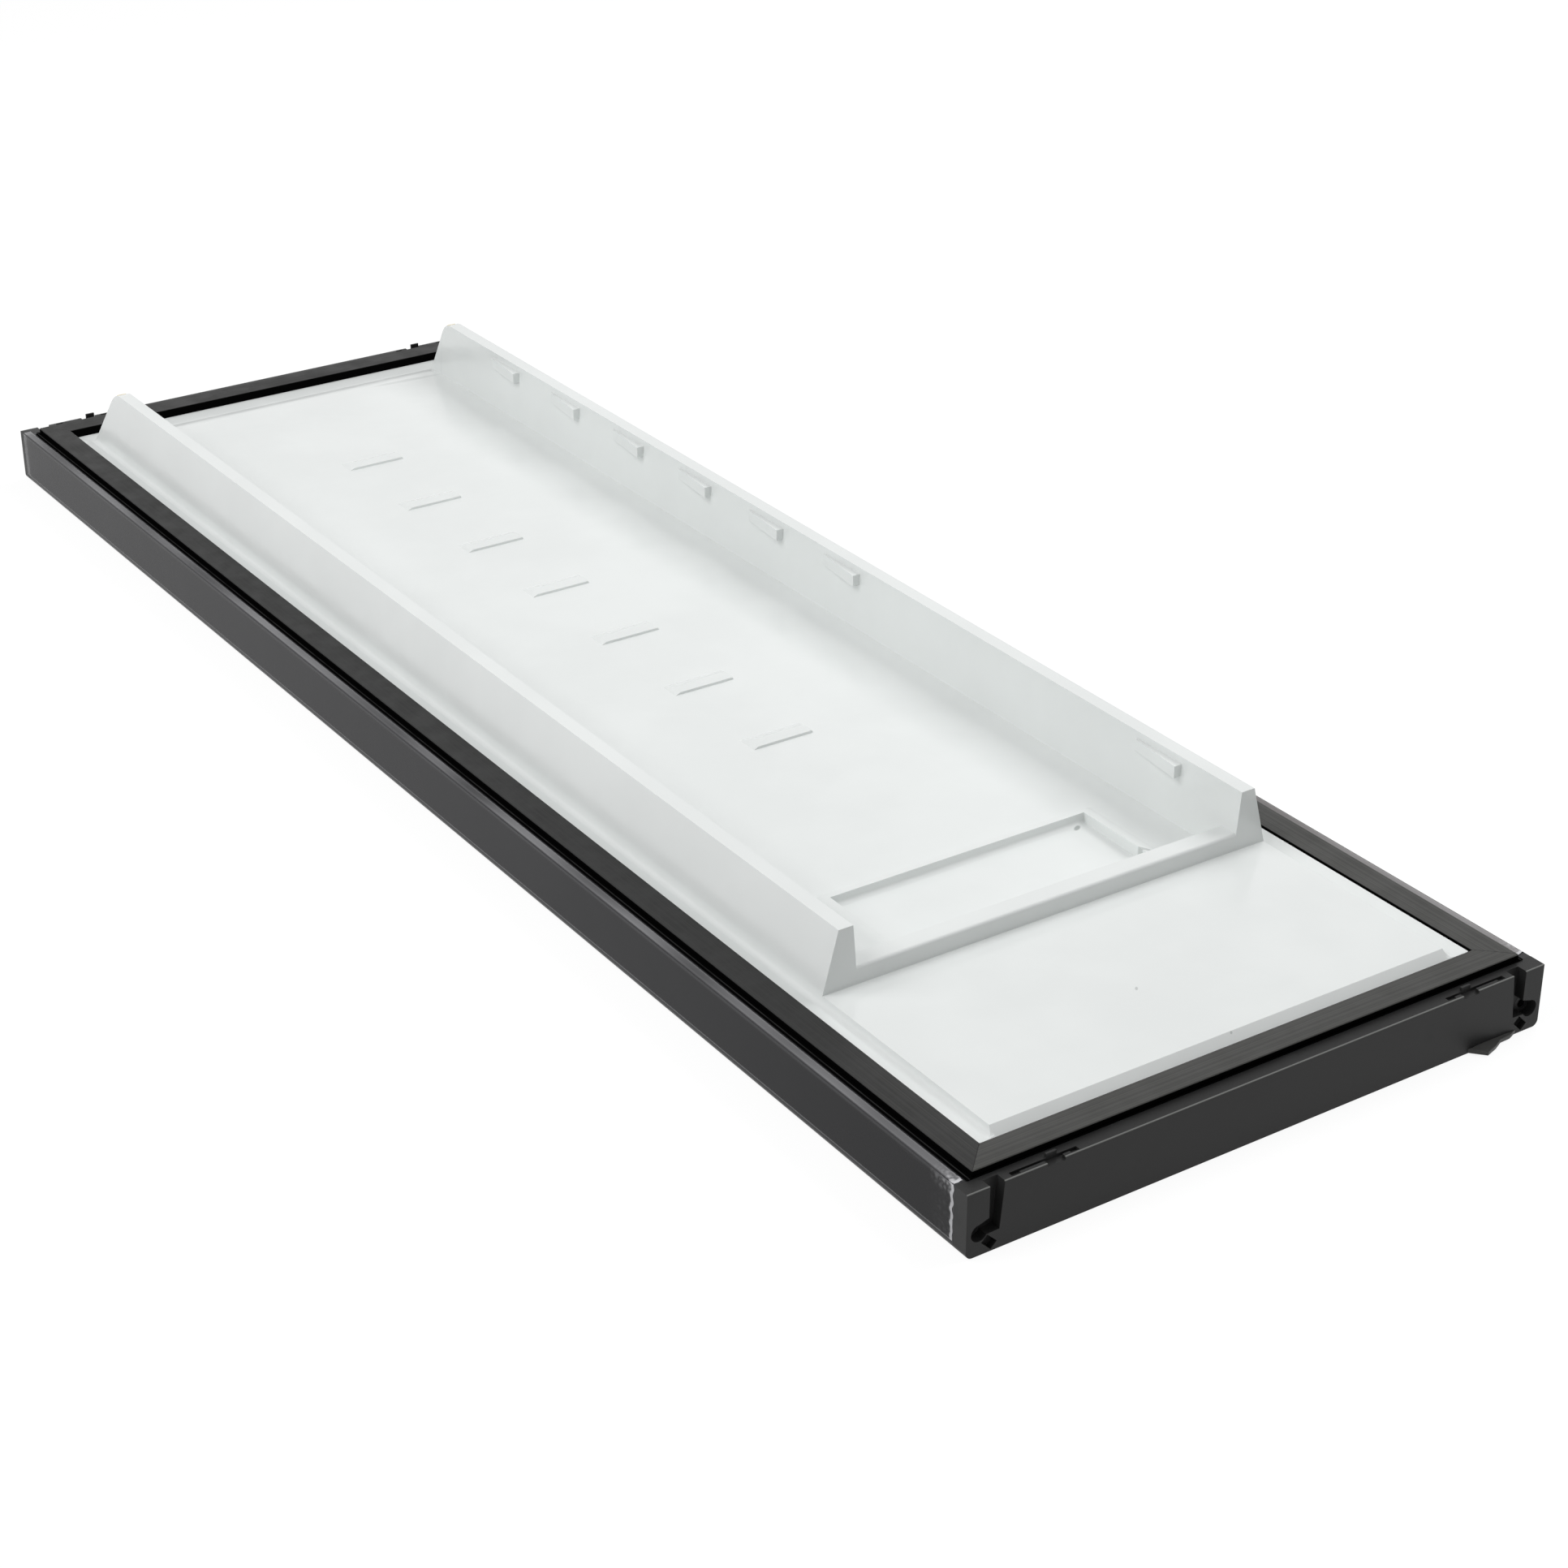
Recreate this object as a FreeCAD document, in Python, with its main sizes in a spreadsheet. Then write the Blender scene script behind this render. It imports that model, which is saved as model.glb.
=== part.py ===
import FreeCAD, Part
import os
import re
import Sketcher

# Refrigerator door lying on its outer face, in millimetres
#
# The origin is the middle of the outer face. X runs across the door, Y along it
# from the bottom end to the top end, and Z from the outer face towards the
# inside of the cabinet. "side" is -1 on the left and +1 on the right, and
# "end" is -1 at the bottom of the door and +1 at its top.

document = FreeCAD.newDocument("refrigerator_door")
sheet = document.addObject("Spreadsheet::Sheet", "Sizes")

SIZES = {
    # outer steel panel
    "door_width": 597,
    "door_length": 1850,
    "door_depth": 59.2,
    "steel": 0.8,
    "fold_radius": 6,
    "flange_width": 13,
    "flange_edge_radius": 0.6,
    # moulded end caps
    "cap_reach": 16,
    "cap_end_wall": 4,
    "cap_wall": 3,
    "cap_rail": 8,
    "corner_width": 46,
    "corner_height": 45,
    "corner_depth": 30,
    # hinge channel in each corner of a cap
    "channel_near": 21,
    "channel_far": 35,
    "channel_depth": 10,
    "channel_knee": 31,
    "channel_foot": 17.5,
    "channel_lean": 4,
    "pivot_from_side": 12,
    "pivot_height": 20.5,
    "pocket_radius": 7.6,
    "key_long": 13,
    "key_short": 8,
    "key_depth": 6,
    "key_from_side": 21.5,
    "key_height": 9,
    # hinge bush and the steel plate behind it
    "bush_radius": 7,
    "bush_length": 14,
    "bush_bore": 4,
    "pin_clearance": 0.2,
    "plate_steel": 2.5,
    "plate_leg": 62,
    "plate_low": 7,
    "plate_high": 41,
    "plate_side_gap": 4,
    # slots for the trim clips in the rail of each cap
    "slot_start": 43,
    "slot_end": 107,
    "slot_near": 4.4,
    "slot_far": 6.8,
    "slot_deep": 3,
    "slot_pocket": 8,
    "slot_pocket_near": 2.2,
    "notch_start": 75,
    "notch_end": 92,
    "hook_width": 10,
    "hook_proud": 3.4,
    "hook_thick": 2.4,
    # inner liner
    "liner_sheet": 2,
    "liner_side_inset": 6,
    "liner_end_inset": 12,
    "strip_top": 56,
    "face_base": 40,
    "band_foot": 48,
    "band_foot_end": 45,
    "panel_top": 66.8,
    "panel_margin": 62.5,
    "panel_margin_end": 57,
    "tray_floor": 58.5,
    "tray_floor_end": 96,
    "tray_floor_slope": 22,
    "rib_top": 124,
    "rib_foot_outer": 59.1,
    "rib_top_outer": 77.5,
    "rib_top_inner": 92,
    "rib_foot_inner": 97.6,
    "rib_end_foot": 78,
    "rib_end_top": 110,
    "rib_end_radius": 20,
    # step across the liner and the recess behind it
    "dam_place": 281,
    "dam_top": 84,
    "dam_flat": 20,
    "dam_fall": 1,
    "dam_foot": 34,
    "dam_edge_radius": 3,
    "recess_half": 139,
    "recess_shift": 3,
    "recess_near": 340,
    "recess_far": 416.5,
    "recess_floor": 46,
    "recess_rise": 5,
    "recess_cove": 6,
    "ledge_side": 19,
    "ledge_wide": 9,
    "ledge_high": 4.5,
    "ledge_slope": 2,
    "ledge_side_slope": 14,
    # shelf lugs on the ribs
    "lug_top": 117.5,
    "lug_low": 105.5,
    "lug_long": 62,
    "lug_proud": 8.5,
    "lug_proud_far": 2.5,
    "lug_pitch": 139,
    "lug_count": 6,
    "lug_last": 293,
    "lug_lower": 361,
    # wedge lugs down the middle of the tray floor
    "wedge_wide": 67,
    "wedge_long": 24,
    "wedge_high": 8,
    "wedge_left_taper": 17,
    "wedge_right_taper": 4,
    "wedge_crest": 5,
    "wedge_last": 324,
    "wedge_count": 7,
    # magnetic gasket
    "gasket_inset": 15.5,
    "gasket_top_shift": 6.5,
    "gasket_top": 66.5,
    "gasket_wide": 27,
    "gasket_skin": 1.4,
    "gasket_chamber": 14,
    "gasket_chamber_high": 3,
    "gasket_foot_top": 58,
    "gasket_lip": 1.8,
    "gasket_lip_gap": 0.3,
    "gasket_lip_thick": 0.8,
    "dart_from_side": 23,
    "dart_wide": 3,
    "dart_deep": 6,
    "groove_clearance": 0.4,
    "magnet_clearance": 0.4,
    "magnet_end_gap": 6,
    # door stop at the bottom end
    "stop_from_right": 53.5,
    "stop_wide": 55,
    "stop_proud": 12.8,
    "stop_low": 0.6,
    "stop_thick": 3.8,
    "stop_tail_wide": 40,
    "stop_tail_deep": 9,
    "stop_tail_thick": 2.2,
    # protective film on both long sides
    "film": 0.15,
    "film_low": 8,
    "film_onto_flange": 9,
    "film_left_start": 17.5,
    "film_right_start": 23,
    "film_end": 9,
}

for row, (name, value) in enumerate(SIZES.items(), start=1):
    sheet.set("A%d" % row, name)
    sheet.set("B%d" % row, str(value))
    sheet.setAlias("B%d" % row, name)
document.recompute()

HALF_WIDTH = "(door_width / 2)"
HALF_LENGTH = "(door_length / 2)"


def in_sheet(formula):
    """Write a formula of size names as an expression that reads the sheet."""
    def cell(match):
        word = match.group(0)
        return "Sizes." + word if word in SIZES else word
    return re.sub(r"[a-z_]+", cell, formula)


def size(formula):
    """The present value of a formula of size names."""
    return float(sheet.evalExpression(in_sheet(formula)))


def bind(thing, **formulas):
    """Tie properties to formulas; a double underscore stands for a dot."""
    for prop, formula in formulas.items():
        thing.setExpression(prop.replace("__", "."), in_sheet(formula))


def from_end(end, distance):
    """Y of a place measured along the door from one of its ends."""
    return "(%d * (%s - (%s)))" % (end, HALF_LENGTH, distance)


def from_bottom(distance):
    return "(-%s + (%s))" % (HALF_LENGTH, distance)


def from_side(side, distance):
    """X of a place measured across the door from one of its sides."""
    return "(%d * (%s - (%s)))" % (side, HALF_WIDTH, distance)


# Bodies, sketches and features

def new_body(label):
    body = document.addObject("PartDesign::Body", label)
    body.Label = label
    return body


def base_plane(body, role):
    return [item for item in body.Origin.OriginFeatures if item.Role == role][0]


def new_sketch(body, name, plane, level="0"):
    """A sketch on one of the body's own planes, moved along its normal."""
    sketch = body.newObject("Sketcher::SketchObject", name)
    sketch.AttachmentSupport = [(base_plane(body, plane), "")]
    sketch.MapMode = "FlatFace"
    bind(sketch, AttachmentOffset__Base__z=level)
    return sketch


def place_point(sketch, line, point, across, up):
    """Hold one end of a line at its two distances from the origin."""
    for kind, formula in (("DistanceX", across), ("DistanceY", up)):
        number = sketch.addConstraint(Sketcher.Constraint(kind, -1, 1, line, point, size(formula)))
        bind(sketch, **{"Constraints[%d]" % number: formula})


def draw_outline(sketch, corners):
    """A closed outline of straight lines through corners given as formulas."""
    points = [FreeCAD.Vector(size(across), size(up), 0) for across, up in corners]
    first = sketch.GeometryCount
    count = len(points)
    for index in range(count):
        sketch.addGeometry(Part.LineSegment(points[index], points[(index + 1) % count]))
    for index in range(count):
        following = first + (index + 1) % count
        sketch.addConstraint(Sketcher.Constraint("Coincident", first + index, 2, following, 1))
    for index, (across, up) in enumerate(corners):
        place_point(sketch, first + index, 1, across, up)


def draw_box(sketch, left, right, low, high):
    draw_outline(sketch, [(left, low), (right, low), (right, high), (left, high)])


def draw_circle(sketch, across, up, radius):
    centre = FreeCAD.Vector(size(across), size(up), 0)
    circle = sketch.addGeometry(Part.Circle(centre, FreeCAD.Vector(0, 0, 1), size(radius)))
    number = sketch.addConstraint(Sketcher.Constraint("Radius", circle, size(radius)))
    bind(sketch, **{"Constraints[%d]" % number: radius})
    place_point(sketch, circle, 3, across, up)


def settle(feature):
    """Recompute, and stop at a feature that has failed."""
    document.recompute()
    if "Invalid" in feature.State or not feature.Shape.isValid():
        raise RuntimeError("%s fails: %s" % (feature.Name, feature.getStatusString()))
    return feature


def pad(body, sketch, length, reversed_way=False, middle=False):
    feature = body.newObject("PartDesign::Pad", sketch.Name + "_pad")
    feature.Profile = sketch
    feature.Reversed = reversed_way
    if middle:
        feature.Midplane = True
    bind(feature, Length=length)
    return settle(feature)


def pocket(body, sketch, length, reversed_way=False, middle=False):
    volume_before = body.Tip.Shape.Volume
    feature = body.newObject("PartDesign::Pocket", sketch.Name + "_pocket")
    feature.Profile = sketch
    feature.Reversed = reversed_way
    if middle:
        feature.Midplane = True
    bind(feature, Length=length)
    settle(feature)
    if not feature.Shape.Volume < volume_before:
        raise RuntimeError(feature.Name + " cuts nothing")
    return feature


def box_feature(body, name, across, along, low, high):
    """A block between two places across, two along and two heights."""
    block = body.newObject("PartDesign::AdditiveBox", name)
    bind(
        block,
        Length="%s - %s" % (across[1], across[0]),
        Width="%s - %s" % (along[1], along[0]),
        Height="%s - (%s)" % (high, low),
        Placement__Base__x=across[0],
        Placement__Base__y=along[0],
        Placement__Base__z=low,
    )
    return settle(block)


def tapered_block(body, name, low, high, foot_across, foot_along, top_across, top_along):
    """A block that narrows from its foot to its top; the sketch side Z is -Y."""
    block = body.newObject("PartDesign::AdditiveWedge", name)
    block.Placement = FreeCAD.Placement(
        FreeCAD.Vector(0, 0, 0), FreeCAD.Rotation(FreeCAD.Vector(1, 0, 0), 90))
    bind(
        block,
        Ymin=low,
        Ymax=high,
        Xmin=foot_across[0],
        Xmax=foot_across[1],
        X2min=top_across[0],
        X2max=top_across[1],
        Zmin="-(%s)" % foot_along[1],
        Zmax="-(%s)" % foot_along[0],
        Z2min="-(%s)" % top_along[1],
        Z2max="-(%s)" % top_along[0],
    )
    return settle(block)


def edges_where(shape, wanted):
    """Names of the edges whose two ends and middle all pass the test."""
    names = []
    for number, edge in enumerate(shape.Edges, start=1):
        middle = edge.valueAt((edge.FirstParameter + edge.LastParameter) / 2)
        points = [vertex.Point for vertex in edge.Vertexes] + [middle]
        if all(wanted(point) for point in points):
            names.append("Edge%d" % number)
    return names


def round_edges(body, name, radius, wanted):
    """Round the edges of the body so far that pass the test."""
    base = body.Tip
    names = edges_where(base.Shape, wanted)
    if not names:
        raise RuntimeError(name + " finds no edge")
    feature = body.newObject("PartDesign::Fillet", name)
    feature.Base = (base, names)
    bind(feature, Radius=radius)
    return settle(feature)


def near(value, formula):
    return abs(value - size(formula)) < 0.01


# Outer panel: one steel sheet folded up at both long sides, with a flange

def make_outer_panel():
    body = new_body("outer_panel")
    profile = new_sketch(body, "panel_profile", "XZ_Plane")
    hem_low = "strip_top"
    right = [
        (HALF_WIDTH, "0"),
        (HALF_WIDTH, "door_depth"),
        (HALF_WIDTH + " - flange_width", "door_depth"),
        (HALF_WIDTH + " - flange_width", hem_low),
        (HALF_WIDTH + " - flange_width + steel", hem_low),
        (HALF_WIDTH + " - flange_width + steel", "door_depth - steel"),
        (HALF_WIDTH + " - steel", "door_depth - steel"),
        (HALF_WIDTH + " - steel", "steel"),
    ]
    left = [("-(%s)" % across, up) for across, up in reversed(right)]
    draw_outline(profile, right + left)
    pad(body, profile, "door_length - 2 * cap_reach", middle=True)
    round_edges(body, "inner_folds", "fold_radius - steel",
                lambda p: near(abs(p.x), HALF_WIDTH + " - steel") and near(p.z, "steel"))
    round_edges(body, "outer_folds", "fold_radius",
                lambda p: near(abs(p.x), HALF_WIDTH) and near(p.z, "0"))
    round_edges(body, "flange_folds", "flange_edge_radius",
                lambda p: near(abs(p.x), HALF_WIDTH) and near(p.z, "door_depth"))
    return body


# End caps: moulded, with a hinge channel, a bush seat and clip slots at each corner

def depth_level(end, depth):
    """Offset of an upright sketch that stands some way in from a door end."""
    return "%d * (%s - (%s))" % (-end, HALF_LENGTH, depth)


def make_end_cap(label, end):
    body = new_body(label)
    inward_pad = end < 0
    inward_pocket = end > 0

    def face_sketch(name, depth="0"):
        return new_sketch(body, label + name, "XZ_Plane", depth_level(end, depth))

    section = face_sketch("_section")
    draw_box(section, "-" + HALF_WIDTH, HALF_WIDTH, "0", "door_depth")
    pad(body, section, "cap_reach", inward_pad)
    round_edges(body, label + "_front_edges", "fold_radius",
                lambda p: near(abs(p.x), HALF_WIDTH) and near(p.z, "0"))

    inner = HALF_WIDTH + " - corner_width"
    outer = HALF_WIDTH + " - steel"
    bend = "fold_radius - steel"
    spigot = face_sketch("_spigot", "cap_reach")
    draw_outline(spigot, [
        ("-(%s) + %s" % (outer, bend), "steel"),
        (outer + " - (%s)" % bend, "steel"),
        (outer, "fold_radius"),
        (outer, "corner_height"),
        (inner, "corner_height"),
        (inner, "steel + cap_wall"),
        ("-(%s)" % inner, "steel + cap_wall"),
        ("-(%s)" % inner, "corner_height"),
        ("-(%s)" % outer, "corner_height"),
        ("-(%s)" % outer, "fold_radius"),
    ])
    pad(body, spigot, "corner_depth - cap_reach", inward_pad)

    hollow = face_sketch("_hollow", "cap_end_wall")
    draw_box(hollow, "-(%s)" % inner, inner, "steel + cap_wall", "door_depth - cap_rail")
    pocket(body, hollow, "cap_reach - cap_end_wall", inward_pocket)

    liner_groove = face_sketch("_liner_groove", "liner_end_inset")
    draw_box(liner_groove, "-%s + liner_side_inset" % HALF_WIDTH, HALF_WIDTH + " - liner_side_inset",
             "strip_top - liner_sheet", "strip_top")
    pocket(body, liner_groove, "cap_reach - liner_end_inset", inward_pocket)

    channel = face_sketch("_channels")
    for side in (-1, 1):
        draw_outline(channel, [
            (from_side(side, "channel_near"), "door_depth + 1"),
            (from_side(side, "channel_near"), "channel_knee"),
            (from_side(side, "pivot_from_side"), "pivot_height + pocket_radius"),
            (from_side(side, "pivot_from_side"), "pivot_height - pocket_radius / 2"),
            (from_side(side, "channel_far - channel_lean"), "channel_foot"),
            (from_side(side, "channel_far"), "door_depth + 1"),
        ])
    pocket(body, channel, "channel_depth", inward_pocket)

    pivots = face_sketch("_pivot_pockets")
    for side in (-1, 1):
        draw_circle(pivots, from_side(side, "pivot_from_side"), "pivot_height", "pocket_radius")
    pocket(body, pivots, "channel_depth", inward_pocket)

    seats = face_sketch("_bush_seats", "channel_depth")
    for side in (-1, 1):
        draw_circle(seats, from_side(side, "pivot_from_side"), "pivot_height", "bush_radius")
    pocket(body, seats, "bush_length", inward_pocket)

    pin_holes = face_sketch("_pin_holes", "channel_depth")
    for side in (-1, 1):
        draw_circle(pin_holes, from_side(side, "pivot_from_side"), "pivot_height",
                    "bush_bore + pin_clearance")
    pocket(body, pin_holes, "corner_depth - channel_depth", inward_pocket)

    keys = face_sketch("_key_holes")
    half_long = "key_long / 2 * 0.7071"
    half_short = "key_short / 2 * 0.7071"
    for side in (-1, 1):
        middle = from_side(side, "key_from_side")
        draw_outline(keys, [
            ("%s - (%s) - (%s)" % (middle, half_long, half_short),
             "key_height + (%s) - (%s)" % (half_long, half_short)),
            ("%s - (%s) + (%s)" % (middle, half_long, half_short),
             "key_height + (%s) + (%s)" % (half_long, half_short)),
            ("%s + (%s) + (%s)" % (middle, half_long, half_short),
             "key_height - (%s) + (%s)" % (half_long, half_short)),
            ("%s + (%s) - (%s)" % (middle, half_long, half_short),
             "key_height - (%s) - (%s)" % (half_long, half_short)),
        ])
    pocket(body, keys, "key_depth", inward_pocket)

    make_clip_slots(body, label, end)
    if end < 0:
        make_stop_seat(body, label)
    return body


def make_clip_slots(body, label, end):
    """Thin slots, end pockets and an open notch in the rail, with a hook."""
    def rail_sketch(name):
        return new_sketch(body, label + name, "XY_Plane", "door_depth")

    slots = rail_sketch("_clip_slots")
    for side in (-1, 1):
        draw_box(slots, from_side(side, "slot_start"), from_side(side, "slot_end"),
                 from_end(end, "slot_near"), from_end(end, "slot_far"))
    pocket(body, slots, "slot_deep")

    ends = rail_sketch("_clip_pockets")
    for side in (-1, 1):
        draw_box(ends, from_side(side, "slot_start"), from_side(side, "slot_start + slot_pocket"),
                 from_end(end, "slot_pocket_near"), from_end(end, "slot_far"))
        draw_box(ends, from_side(side, "slot_end - slot_pocket"), from_side(side, "slot_end"),
                 from_end(end, "slot_pocket_near"), from_end(end, "slot_far"))
    pocket(body, ends, "slot_deep")

    notches = rail_sketch("_clip_notches")
    for side in (-1, 1):
        draw_box(notches, from_side(side, "notch_start"), from_side(side, "notch_end"),
                 from_end(end, "-1"), from_end(end, "slot_far"))
    pocket(body, notches, "slot_deep")

    middle = "(notch_start + notch_end) / 2"
    hooks = rail_sketch("_clip_hooks")
    for side in (-1, 1):
        draw_box(hooks, from_side(side, middle + " - hook_width / 2"),
                 from_side(side, middle + " + hook_width / 2"),
                 from_end(end, "slot_far"), from_end(end, "slot_far + hook_thick"))
    pad(body, hooks, "hook_proud")


def make_stop_seat(body, label):
    """The slot low in the end face that holds the tail of the door stop."""
    seat = new_sketch(body, label + "_stop_seat", "XZ_Plane", depth_level(-1, "0"))
    draw_box(seat, from_side(1, STOP_MIDDLE + " + stop_tail_wide / 2"),
             from_side(1, STOP_MIDDLE + " - stop_tail_wide / 2"),
             TAIL_LOW, TAIL_LOW + " + stop_tail_thick")
    pocket(body, seat, "stop_tail_deep")


# Door stop: a flat moulded tongue whose tail sits in the bottom end cap

STOP_MIDDLE = "stop_from_right"
TAIL_LOW = "stop_low + stop_thick - stop_tail_thick"


def make_door_stop():
    body = new_body("door_stop")
    tongue = new_sketch(body, "stop_tongue", "XY_Plane", "stop_low")

    def corner(share_across, share_out):
        across = from_side(1, "%s + stop_wide * %g" % (STOP_MIDDLE, 0.5 - share_across))
        return across, from_end(-1, "-stop_proud * %g" % share_out)

    draw_outline(tongue, [
        corner(0, 0),
        corner(0.21, 1),
        corner(0.44, 0.7),
        corner(0.62, 0.33),
        corner(0.82, 0.3),
        corner(1, 0),
    ])
    pad(body, tongue, "stop_thick")
    tail = new_sketch(body, "stop_tail", "XY_Plane", TAIL_LOW)
    draw_box(tail, from_side(1, STOP_MIDDLE + " + stop_tail_wide / 2"),
             from_side(1, STOP_MIDDLE + " - stop_tail_wide / 2"),
             from_end(-1, "0"), from_end(-1, "stop_tail_deep"))
    pad(body, tail, "stop_tail_thick")
    return body


# Hinge parts: a flanged bush in each pivot seat and a steel angle behind it

def make_hinge_bush(label, side, end):
    body = new_body(label)
    ring = new_sketch(body, label + "_ring", "XZ_Plane", depth_level(end, "channel_depth"))
    for radius in ("bush_radius", "bush_bore"):
        draw_circle(ring, from_side(side, "pivot_from_side"), "pivot_height", radius)
    pad(body, ring, "bush_length", end < 0)
    return body


def make_hinge_plate(label, side, end):
    """A steel angle: one leg on the cap's inner face, one along the side."""
    body = new_body(label)
    angle = new_sketch(body, label + "_angle", "XY_Plane", "plate_low")
    edge = "steel + plate_side_gap"
    cap_face = "corner_depth"
    draw_outline(angle, [
        (from_side(side, edge), from_end(end, cap_face)),
        (from_side(side, "corner_width"), from_end(end, cap_face)),
        (from_side(side, "corner_width"), from_end(end, cap_face + " + plate_steel")),
        (from_side(side, edge + " + plate_steel"), from_end(end, cap_face + " + plate_steel")),
        (from_side(side, edge + " + plate_steel"), from_end(end, cap_face + " + plate_leg")),
        (from_side(side, edge), from_end(end, cap_face + " + plate_leg")),
    ])
    pad(body, angle, "plate_high - plate_low")
    hole = new_sketch(body, label + "_pin_hole", "XZ_Plane", depth_level(end, cap_face))
    draw_circle(hole, from_side(side, "pivot_from_side"), "pivot_height", "bush_bore + pin_clearance")
    pocket(body, hole, "plate_steel", end > 0)
    return body


# Inner liner: a vacuum-formed sheet
#
# liner_face makes the solid below the liner's upper face. The same solid with
# every face moved in by the sheet's thickness is the face of the foam, and the
# liner is the difference of the two.

DAM = from_bottom("dam_place")


def across_both(distance):
    return "-(%s - (%s))" % (HALF_WIDTH, distance), "%s - (%s)" % (HALF_WIDTH, distance)


def liner_face(label, inset, base_side, base_end):
    body = new_body(label)
    dam = "%s + %s" % (DAM, inset)
    strip = "strip_top - %s" % inset

    box_feature(body, label + "_base", across_both(base_side),
                (from_end(-1, base_end), from_end(1, base_end)), "face_base", strip)

    foot = "band_foot + " + inset
    foot_end = from_end(-1, "band_foot_end + " + inset)
    margin = "panel_margin + " + inset
    tapered_block(body, label + "_lower_panel", strip, "panel_top - " + inset,
                  across_both(foot), (foot_end, DAM + " + dam_flat / 2"),
                  across_both(margin), (from_end(-1, "panel_margin_end + " + inset), DAM + " + dam_flat / 2"))

    floor_end = from_end(1, "tray_floor_end + " + inset)
    tapered_block(body, label + "_tray_floor", strip, "tray_floor - " + inset,
                  across_both("rib_top_outer"), (dam, floor_end + " + tray_floor_slope"),
                  across_both("rib_top_outer"), (dam, floor_end))

    for side, hand in ((-1, "left"), (1, "right")):
        def span(outer, inner, side=side):
            places = [from_side(side, outer), from_side(side, inner)]
            return places if side < 0 else places[::-1]

        rib_end = from_end(1, "rib_end_foot + " + inset)
        rib_end_top = from_end(1, "rib_end_top + " + inset)
        tapered_block(body, "%s_%s_band" % (label, hand), strip, "panel_top - " + inset,
                      span(foot, "rib_top_inner"), (dam, rib_end),
                      span(margin, "rib_top_inner"), (dam, rib_end + " - 8"))
        tapered_block(body, "%s_%s_rib" % (label, hand), strip, "rib_top - " + inset,
                      span("rib_foot_outer + " + inset, "rib_foot_inner - " + inset), (dam, rib_end),
                      span("rib_top_outer + " + inset, "rib_top_inner - " + inset), (dam, rib_end_top))

    step = new_sketch(body, label + "_dam", "YZ_Plane")
    crest = DAM + " + dam_flat - " + inset
    draw_outline(step, [
        (dam, "face_base"),
        (dam, "dam_top - " + inset),
        (crest, "dam_top - dam_fall - " + inset),
        (DAM + " + dam_foot - " + inset, strip),
        (DAM + " + dam_foot - " + inset, "face_base"),
    ])
    pad(body, step, "door_width - 2 * rib_top_inner", middle=True)

    if inset == "0":
        round_liner(body, label)

    make_recess(body, label, inset, crest)
    make_groove(body, label, inset)
    make_rib_lugs(body, label, inset)
    make_floor_wedges(body, label, inset)
    return body


def make_recess(body, label, inset, crest):
    """The recess behind the step, its rising floor, and the raised ledge round its far edge and sides."""
    recess_end = from_bottom("recess_far + " + inset)
    high, low = "dam_top + 1", "recess_floor - " + inset
    left, right = "(recess_shift - recess_half - %s)" % inset, "(recess_shift + recess_half + %s)" % inset
    back = from_bottom("recess_far + ledge_wide - " + inset)
    outer_left = "(recess_shift - recess_half - ledge_side + %s)" % inset
    outer_right = "(recess_shift + recess_half + ledge_side - %s)" % inset
    tapered_block(body, label + "_ledge", "tray_floor - " + inset, "tray_floor + ledge_high - " + inset,
                  (outer_left, outer_right),
                  (DAM + " + dam_flat / 2", back),
                  (outer_left + " + ledge_side_slope", outer_right + " - ledge_side_slope"),
                  (DAM + " + dam_flat / 2", back + " - ledge_slope"))
    hollow = new_sketch(body, label + "_recess", "XZ_Plane", "-(%s)" % crest)
    draw_box(hollow, left, right, low, high)
    pocket(body, hollow, "%s - (%s)" % (recess_end, crest))
    ramp = new_sketch(body, label + "_ramp", "YZ_Plane", "recess_shift")
    draw_outline(ramp, [
        (DAM + " + dam_flat / 2", "face_base"),
        (DAM + " + dam_flat / 2", "dam_top - dam_fall - " + inset),
        (crest, "dam_top - dam_fall - " + inset),
        (from_bottom("recess_near - " + inset), low + " + recess_rise"),
        (recess_end, low),
        (recess_end, "face_base"),
    ])
    pad(body, ramp, "2 * (recess_half + %s)" % inset, middle=True)
    round_edges(body, label + "_recess_cove", "recess_cove + " + inset,
                lambda p: near(p.y, recess_end) and near(p.z, low))


def round_liner(body, label):
    """Soft ends of the ribs, and the soft edge of the step."""
    rib_high = size("rib_top") - 0.01
    round_edges(body, label + "_rib_ends", "rib_end_radius",
                lambda p: p.z > rib_high and near(p.y, from_end(1, "rib_end_top")))
    round_edges(body, label + "_dam_edge", "dam_edge_radius",
                lambda p: near(p.y, DAM) and near(p.z, "dam_top"))


def make_groove(body, label, inset):
    """The groove round the liner that holds the gasket's dart."""
    near_wall = "dart_from_side - groove_clearance - " + inset
    far_wall = "dart_from_side + dart_wide + groove_clearance + " + inset
    groove = new_sketch(body, label + "_groove", "XY_Plane", "strip_top")
    for inward in (near_wall, far_wall):
        left, right = across_both(inward)
        draw_box(groove, left, right, from_end(-1, inward), from_end(1, inward + " + gasket_top_shift"))
    pocket(body, groove, "dart_deep + groove_clearance + " + inset)


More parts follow.
